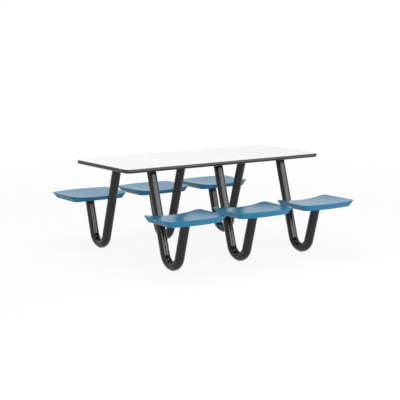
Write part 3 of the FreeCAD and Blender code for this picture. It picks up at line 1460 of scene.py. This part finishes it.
    def build_shell(self) -> Draft:
        """Builds the seat: a rounded block, hollowed from below.

        Returns:
            The draft, about the middle of the plate.
        """
        waist = self.base + self.rim_rise / 2
        shell = self.build_block("seat_shell", 0.0, 0.0, 0.0)
        shell.edit()
        shell.choose(
            Element.EDGE, lambda edge, middle: edge.calc_face_angle(0.0) > self.sharp and middle.z > waist
        )
        shell.round_edges(self.rim_rounding, steps=5)
        shell.choose(Element.EDGE, lambda edge, middle: middle.z < self.base + LEVEL)
        shell.round_edges(self.foot_rounding, steps=3)
        shell.carve(self.build_hollow())
        for bore in self.build_posts("bore", self.bore_radius, -self.clearance, self.bore_depth):
            shell.carve(bore)
        shell.edit()
        if shell.choose_border():
            shell.fill()
        shell.smooth(degrees=30)
        return shell

    def build(self, leg: BentLeg) -> None:
        """Builds one seat and copies it to the six places.

        Args:
            leg: the leg whose outer end carries the seat.
        """
        shell = self.build_shell()
        for side, station in places():
            node = place_name("seat_shell", side, station)
            copy = shell.copy(node + DRESSED)
            copy.edit()
            copy.move((0, leg.end(leg.to_seat).y, 0))
            copy.place(side, station, self.spacing).finish(SEAT_BLUE, node)
        shell.drop()


# The studio.


@dataclass(frozen=True)
class Lamp:
    """A soft lamp, with its width and height, and how bright its face is, where the white surround is 1.

    A lamp whose shine is for the coated steel gives its mirror image there, and no light besides.
    """

    name: str
    place: Point
    size: tuple[float, float]
    radiance: float
    shine: Shine = Shine.EVERYTHING


@dataclass
class Studio:
    """A pale floor, soft lamps, a white surround and the camera."""

    camera_place: Point = (-5.2724, -7.5405, 1.8757)
    azimuth: float = math.radians(34.964)
    elevation: float = math.radians(9.082)
    lens: float = 104.59
    sensor: float = 36.0
    sight: float = 100.0
    floor_size: float = 60.0
    floor_tone: float = 0.90
    floor_glow: float = 0.90
    glow_start: float = 2.0
    glow_end: float = 7.0
    surround: float = 0.56
    aim: Point = (0.0, 0.0, 0.4)
    no_shine: tuple[str, ...] = ("seat_shell", "top_laminate", "floor")
    lamps: tuple[Lamp, ...] = (
        Lamp("key_lamp", place=(0.2, -4.3, 1.1), size=(8.5, 1.2), radiance=5.2, shine=Shine.NOTHING),
        Lamp("key_shine", place=(0.3, -4.1, 1.72), size=(9.2, 1.5), radiance=5.4, shine=Shine.COATED_STEEL),
        Lamp("top_lamp", place=(-0.5, 0.4, 4.5), size=(4.0, 3.5), radiance=1.8),
    )

    def build_camera(self) -> None:
        """Places the camera."""
        data = bpy.data.cameras.new("camera")
        data.lens = self.lens
        data.sensor_width = self.sensor
        data.clip_end = self.sight
        camera = bpy.data.objects.new("camera", data)
        camera.location = self.camera_place
        camera.rotation_euler = (math.pi / 2 - self.elevation, 0.0, -self.azimuth)
        bpy.context.scene.collection.objects.link(camera)
        bpy.context.scene.camera = camera

    def build_world(self) -> None:
        """Builds the surround: white where it is seen, softer as a light."""
        world = bpy.data.worlds.new("surround")
        world.use_nodes = True
        nodes = Nodes(world.node_tree)
        strength = nodes.node("Mix", Factor=nodes.seen(), A=self.surround, B=1.0)
        background = world.node_tree.nodes["Background"]
        nodes.feed(background.inputs["Color"], (1, 1, 1, 1))
        nodes.feed(background.inputs["Strength"], strength.outputs["Result"])
        bpy.context.scene.world = world

    def build_floor(self) -> None:
        """Builds the floor: pale, and a little brighter where it is seen, so that its shadow stays."""
        floor = Draft.primitive("floor", bpy.ops.mesh.primitive_plane_add, size=self.floor_size)
        material = bpy.data.materials.new("pale_floor")
        material.use_nodes = True
        material.node_tree.nodes.clear()
        nodes = Nodes(material.node_tree)
        tone = (self.floor_tone, self.floor_tone, self.floor_tone, 1.0)
        matte = nodes.node("BsdfDiffuse", Color=tone).outputs[0]
        glow = nodes.node("Emission").outputs[0]
        clear = nodes.node("BsdfTransparent").outputs[0]
        place = nodes.node("TexCoord").outputs["Object"]
        reach = nodes.math("LENGTH", place, kind="VectorMath").outputs["Value"]
        fade = nodes.node(
            "MapRange", Value=reach, From_Min=self.glow_start, From_Max=self.glow_end, To_Min=self.floor_glow
        )
        share = nodes.math("MULTIPLY", nodes.seen(), fade.outputs["Result"]).outputs[0]
        below = nodes.node("NewGeometry").outputs["Backfacing"]
        surface = nodes.mix(below, nodes.mix(share, matte, glow), clear)
        nodes.node("OutputMaterial", Surface=surface)
        floor.piece.data.materials.append(material)

    def build_lamp(self, lamp: Lamp) -> None:
        """Hangs a lamp that faces the table.

        Args:
            lamp: what it is like.
        """
        width, height = lamp.size
        data = bpy.data.lights.new(lamp.name, "AREA")
        data.shape = "RECTANGLE"
        data.size, data.size_y = width, height
        data.energy = math.pi * width * height * lamp.radiance
        light = bpy.data.objects.new(lamp.name, data)
        light.location = lamp.place
        light.rotation_euler = (Vector(self.aim) - Vector(lamp.place)).to_track_quat("-Z", "Y").to_euler()
        light.visible_camera = False
        light.visible_glossy = lamp.shine is not Shine.NOTHING
        if lamp.shine is Shine.COATED_STEEL:
            light.visible_diffuse = False
            steel = bpy.data.collections.new("coated_steel")
            for piece in bpy.data.objects:
                if piece.type == "MESH" and not piece.name.startswith(self.no_shine):
                    steel.objects.link(piece)
            light.light_linking.receiver_collection = steel
        bpy.context.scene.collection.objects.link(light)

    def build(self) -> None:
        """Builds the studio."""
        self.build_camera()
        self.build_world()
        self.build_floor()
        for lamp in self.lamps:
            self.build_lamp(lamp)
        bpy.context.scene.view_settings.view_transform = "Standard"


def main() -> None:
    """Builds the table's pieces in order, then the studio."""
    leg = BentLeg()
    TableTop().build()
    leg.build()
    Steelwork().build()
    Fixings().build(leg)
    Seat().build(leg)
    Studio().build()


if __name__ == "__main__":
    main()
